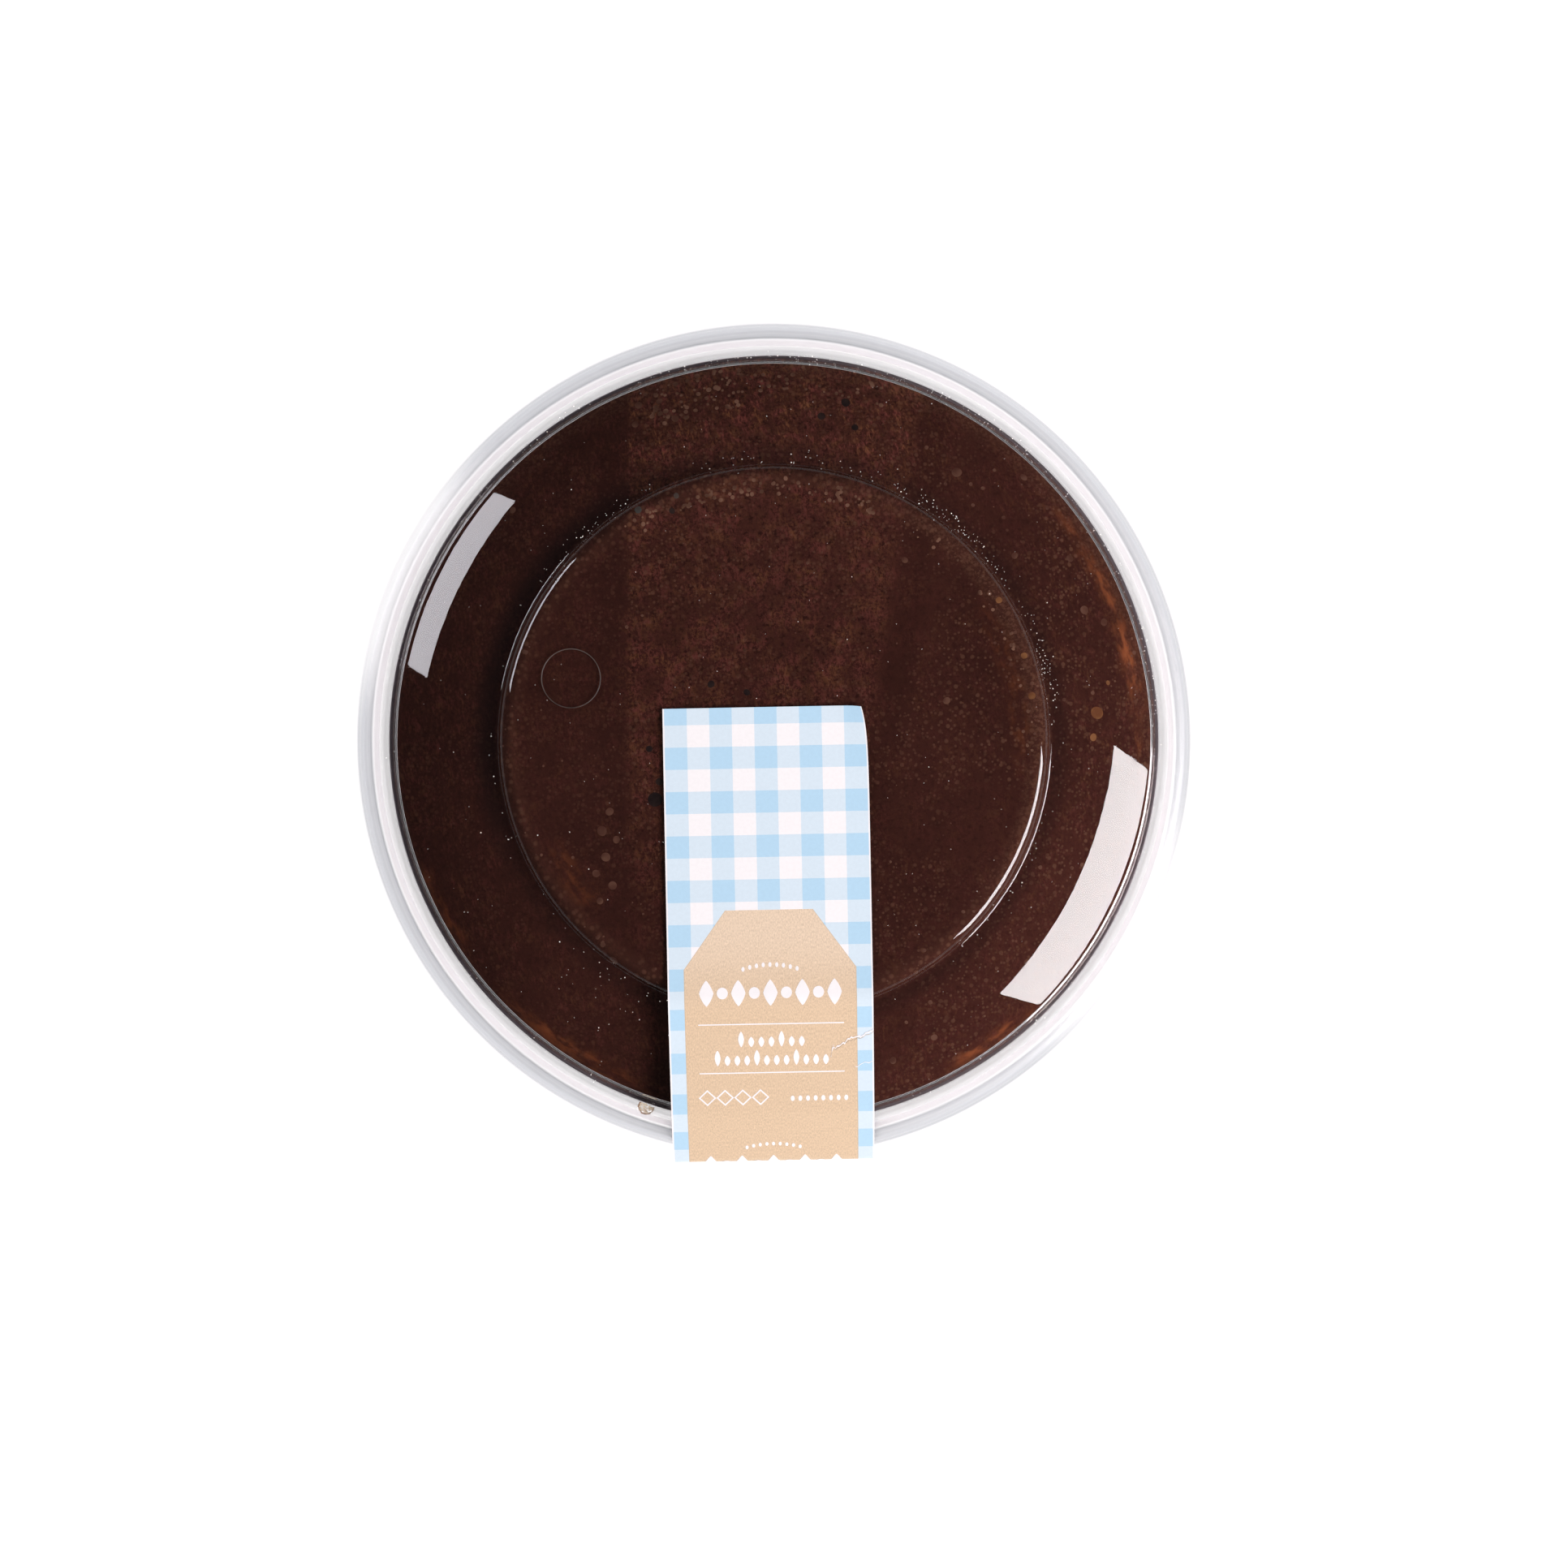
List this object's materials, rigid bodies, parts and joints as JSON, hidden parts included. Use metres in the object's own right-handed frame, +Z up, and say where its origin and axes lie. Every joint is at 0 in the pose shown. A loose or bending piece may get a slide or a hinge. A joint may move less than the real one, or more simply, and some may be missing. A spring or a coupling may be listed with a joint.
{
  "type": "chocolate mousse in a clear tub",
  "caption": "round clear tub filled with dark chocolate mousse, shut by a clear two-tier lid, with a checked paper strip folded over its rim",
  "frame": {"origin": "middle of the flat base that the tub stands on", "axes": "+Z up through the tub's axis, -Y towards the side that the paper strip hangs over, +X to the right of it"},
  "size_m": [0.1768, 0.1779, 0.0452],
  "materials": {
    "clear_plastic": "clear glossy thermoformed plastic",
    "mousse": "dark chocolate mousse, moist and slightly glossy, pressed against the clear plastic with small trapped air bubbles",
    "paper": "smooth coated paper printed with light blue gingham and a plain kraft coloured tag"
  },
  "bodies": {
    "root": {"bowl": "clear_plastic", "lid": "clear_plastic", "mousse": "mousse", "strip": "paper"}
  },
  "joints": []
}
